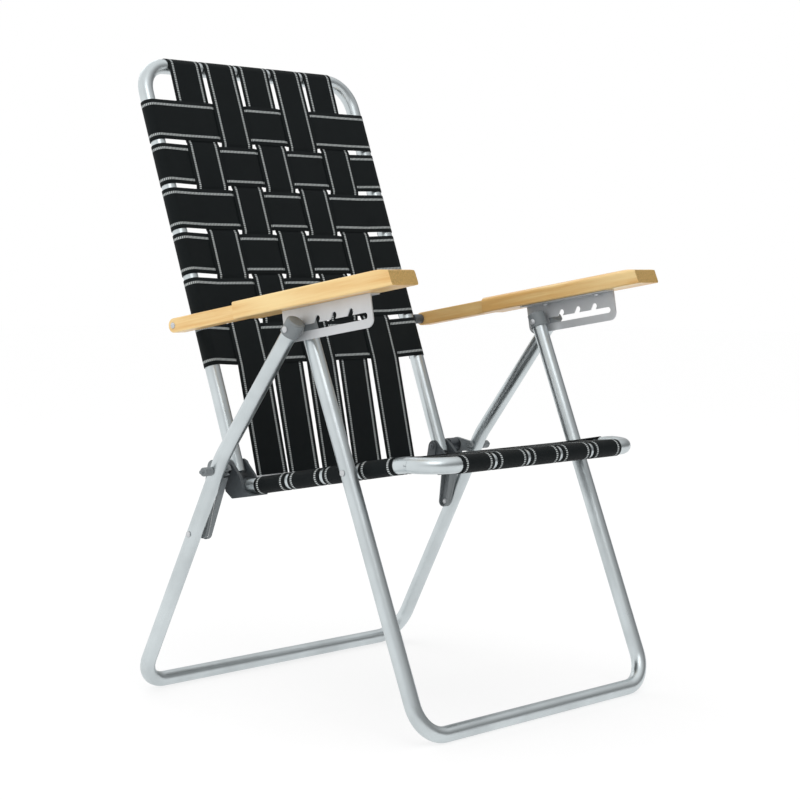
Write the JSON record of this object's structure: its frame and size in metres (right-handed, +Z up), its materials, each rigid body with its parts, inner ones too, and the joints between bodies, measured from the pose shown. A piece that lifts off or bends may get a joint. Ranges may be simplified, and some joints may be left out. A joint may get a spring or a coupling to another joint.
{
  "type": "folding lawn chair",
  "caption": "Folding lawn chair: bent tube frame, flat webbing woven over seat and back, wooden arms on slotted plates that let the back recline and the whole frame fold.",
  "frame": {"origin": "on the floor, at the middle of the chair's plan", "axes": "+Z up, -Y to the front of the chair, X across it"},
  "size_m": [0.62, 0.6264, 0.9407],
  "materials": {
    "tube": "bright drawn tube",
    "steel": "plated",
    "dark_steel": "dark oxide",
    "dark_plastic": "moulded",
    "grey_plastic": "moulded",
    "timber": "clear varnish on pale hardwood",
    "webbing": "woven polypropylene with pale stripes"
  },
  "bodies": {
    "rear_legs": {"rear_leg_frame": "tube", "rear_cap_left": "grey_plastic", "rear_cap_right": "grey_plastic", "link_rivet_left": "steel", "link_rivet_right": "steel", "stop_pin_left": "grey_plastic", "stop_pin_right": "grey_plastic"},
    "front_legs": {"front_leg_frame": "tube", "front_cap_left": "grey_plastic", "front_cap_right": "grey_plastic", "seat_rivet_left": "steel", "seat_rivet_right": "steel"},
    "links": {"link_left": "grey_plastic", "link_right": "grey_plastic"},
    "seat": {"seat_frame": "tube", "seat_rear_bar": "steel", "bracket_left": "dark_plastic", "bracket_right": "dark_plastic", "seat_long_web_1": "webbing", "seat_long_web_2": "webbing", "seat_long_web_3": "webbing", "seat_long_web_4": "webbing", "seat_long_web_5": "webbing", "seat_cross_web_1": "webbing", "seat_cross_web_2": "webbing", "seat_cross_web_3": "webbing", "seat_cross_web_4": "webbing"},
    "pivot_bolts": {"back_pivot_left": "dark_steel", "back_pivot_right": "dark_steel"},
    "back": {"back_frame": "tube", "back_low_bar": "steel", "low_bar_tab_left": "dark_plastic", "low_bar_tab_right": "dark_plastic", "back_long_web_1": "webbing", "back_long_web_2": "webbing", "back_long_web_3": "webbing", "back_long_web_4": "webbing", "back_long_web_5": "webbing", "back_cross_web_1": "webbing", "back_cross_web_2": "webbing", "back_cross_web_3": "webbing", "back_cross_web_4": "webbing", "back_cross_web_5": "webbing", "back_cross_web_6": "webbing"},
    "washers": {"washer_left": "steel", "washer_right": "steel"},
    "lock_pins": {"lock_pin_left": "steel", "lock_pin_right": "steel"},
    "arms": {"arm_left": "timber", "arm_right": "timber", "slot_plate_left": "steel", "slot_plate_right": "steel", "plate_screw_1_left": "steel", "plate_screw_1_right": "steel", "plate_screw_2_left": "steel", "plate_screw_2_right": "steel", "arm_bolt_left": "steel", "arm_bolt_right": "steel", "arm_spacer_left": "dark_plastic", "arm_spacer_right": "dark_plastic"}
  },
  "joints": [
    {"name": "fold", "type": "hinge", "parent": "rear_legs", "child": "front_legs", "pos_m": [0, -0.09072, 0.543], "axis": [1, 0, 0], "range_deg": [0, 44.6]},
    {"name": "link_swing", "type": "hinge", "parent": "rear_legs", "child": "links", "pos_m": [0, 0.11191, 0.246], "axis": [-1, 0, 0], "range_deg": [0, 119.95]},
    {"name": "seat_swing", "type": "hinge", "parent": "links", "child": "seat", "pos_m": [0, 0.08818, 0.341], "axis": [1, 0, 0], "range_deg": [0, 90.55]},
    {"name": "bolt_swing", "type": "hinge", "parent": "links", "child": "pivot_bolts", "pos_m": [0, 0.08818, 0.341], "axis": [1, 0, 0], "range_deg": [0, 161.24]},
    {"name": "recline", "type": "hinge", "parent": "pivot_bolts", "child": "back", "pos_m": [0, 0.08818, 0.341], "axis": [-1, 0, 0], "range_deg": [0, 30]},
    {"name": "arm_lift", "type": "hinge", "parent": "rear_legs", "child": "lock_pins", "pos_m": [0, -0.09072, 0.543], "axis": [-1, 0, 0], "range_deg": [0, 29.51]},
    {"name": "pin_turn", "type": "hinge", "parent": "lock_pins", "child": "washers", "pos_m": [0, -0.09368, 0.54348], "axis": [-1, 0, 0], "range_deg": [0, 7.89]},
    {"name": "arm_slide", "type": "slide", "parent": "washers", "child": "arms", "axis": [0, 0.9869, -0.1616], "range_m": [0, 0.0977]}
  ],
  "couplings": [
    {"joint": "link_swing", "follows": "fold", "ratio": 2.6881},
    {"joint": "seat_swing", "follows": "fold", "ratio": 2.0293},
    {"joint": "bolt_swing", "follows": "fold", "ratio": 3.6134},
    {"joint": "arm_lift", "follows": "fold", "ratio": 0.66126},
    {"joint": "pin_turn", "follows": "recline", "ratio": 0.26274},
    {"joint": "arm_slide", "follows": "recline", "m_per_rad": 0.18658}
  ]
}
